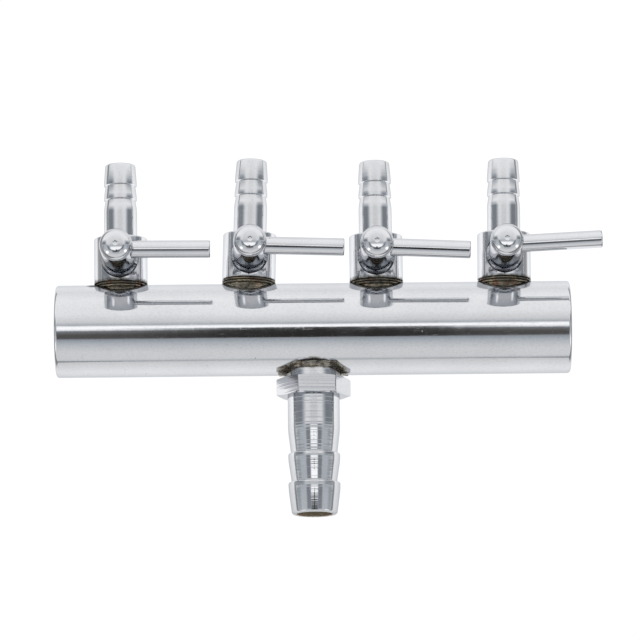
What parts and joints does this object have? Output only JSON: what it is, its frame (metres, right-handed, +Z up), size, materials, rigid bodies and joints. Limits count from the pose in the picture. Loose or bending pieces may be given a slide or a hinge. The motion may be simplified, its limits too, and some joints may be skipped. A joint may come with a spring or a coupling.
{
  "type": "hose splitter",
  "caption": "Straight chromed barrel with a barbed hose inlet on one side and a row of barbed outlets on the other, each outlet with its own quarter-turn lever valve.",
  "frame": {"origin": "middle of the barrel, on the barrel's axis", "axes": "+X along the barrel towards the side the closed levers point to, +Y along the outlets, -Y out of the inlet, +Z up on the lever side; the splitter lies on its back"},
  "size_m": [0.0879, 0.0583, 0.0234],
  "materials": {
    "chrome_plate": "bright nickel-chrome plate over brass, lightly scratched and pitted",
    "braze": "rough solder and flux, heat-stained brown, gold and black",
    "spring_steel": "plain sprung steel",
    "fastener_steel": "zinc-plated steel"
  },
  "bodies": {
    "manifold": {"barrel_tube": "chrome_plate", "end_cap_left": "chrome_plate", "end_cap_right": "chrome_plate", "inlet_fitting": "chrome_plate", "inlet_braze": "braze", "valve_body_1": "chrome_plate", "valve_body_2": "chrome_plate", "valve_body_3": "chrome_plate", "valve_body_4": "chrome_plate", "valve_braze_1": "braze", "valve_braze_2": "braze", "valve_braze_3": "braze", "valve_braze_4": "braze"},
    "valve_plug_1": {"plug_1": "chrome_plate", "lever_1": "chrome_plate", "plug_spring_1": "spring_steel", "plug_washer_1": "fastener_steel", "plug_screw_1": "fastener_steel"},
    "valve_plug_2": {"plug_2": "chrome_plate", "lever_2": "chrome_plate", "plug_spring_2": "spring_steel", "plug_washer_2": "fastener_steel", "plug_screw_2": "fastener_steel"},
    "valve_plug_3": {"plug_3": "chrome_plate", "lever_3": "chrome_plate", "plug_spring_3": "spring_steel", "plug_washer_3": "fastener_steel", "plug_screw_3": "fastener_steel"},
    "valve_plug_4": {"plug_4": "chrome_plate", "lever_4": "chrome_plate", "plug_spring_4": "spring_steel", "plug_washer_4": "fastener_steel", "plug_screw_4": "fastener_steel"}
  },
  "joints": [
    {"name": "lever_1_turn", "type": "hinge", "parent": "manifold", "child": "valve_plug_1", "pos_m": [-0.03107, 0.0113, 0], "axis": [-0.0105, -0.0001, 0.9999], "range_deg": [-89.5, 90.5]},
    {"name": "lever_2_turn", "type": "hinge", "parent": "manifold", "child": "valve_plug_2", "pos_m": [-0.01022, 0.0118, 0], "axis": [0.0244, -0.0008, 0.9997], "range_deg": [-88.5, 91.5]},
    {"name": "lever_3_turn", "type": "hinge", "parent": "manifold", "child": "valve_plug_3", "pos_m": [0.01032, 0.01135, 0], "axis": [0.0017, 0, 1], "range_deg": [-87.5, 92.5]},
    {"name": "lever_4_turn", "type": "hinge", "parent": "manifold", "child": "valve_plug_4", "pos_m": [0.03108, 0.0115, 0], "axis": [-0.0052, 0, 1], "range_deg": [-92.7, 87.3]}
  ]
}
